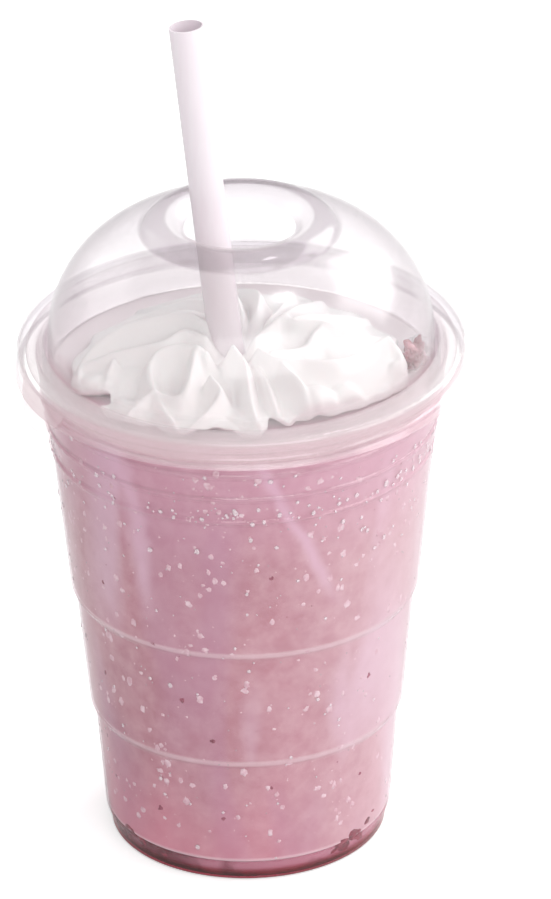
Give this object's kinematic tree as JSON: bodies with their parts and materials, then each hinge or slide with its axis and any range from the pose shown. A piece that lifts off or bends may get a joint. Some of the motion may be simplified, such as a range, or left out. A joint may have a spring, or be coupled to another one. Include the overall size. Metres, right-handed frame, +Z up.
{
  "type": "strawberry milkshake in a clear cup",
  "caption": "Pink strawberry milkshake in a clear tapered cup, with piped whipped cream under a domed lid and a straw through the lid's hole.",
  "frame": {"origin": "centre of the ring that the cup stands on, at table level", "axes": "+Z up along the cup's axis, -Y towards the front of the drink, the straw leans to -X"},
  "size_m": [0.1036, 0.1036, 0.2],
  "materials": {
    "clear_pet_cup": "clear thermoformed PET with a wet gloss",
    "clear_pet_lid": "clear thermoformed PET, glossy",
    "tinted_straw": "translucent extruded polypropylene, satin gloss",
    "strawberry_milkshake": "opaque dusty pink drink, smooth and wet",
    "strawberry_syrup": "dark strawberry syrup, glossy",
    "whipped_cream": "soft white whipped cream, satin",
    "strawberry": "cut strawberry flesh, wet"
  },
  "bodies": {
    "root": {"cup": "clear_pet_cup", "dome_lid": "clear_pet_lid", "straw": "tinted_straw", "strawberry_syrup": "strawberry_syrup", "milkshake": "strawberry_milkshake", "whipped_cream": "whipped_cream", "strawberry_piece": "strawberry"}
  },
  "joints": []
}
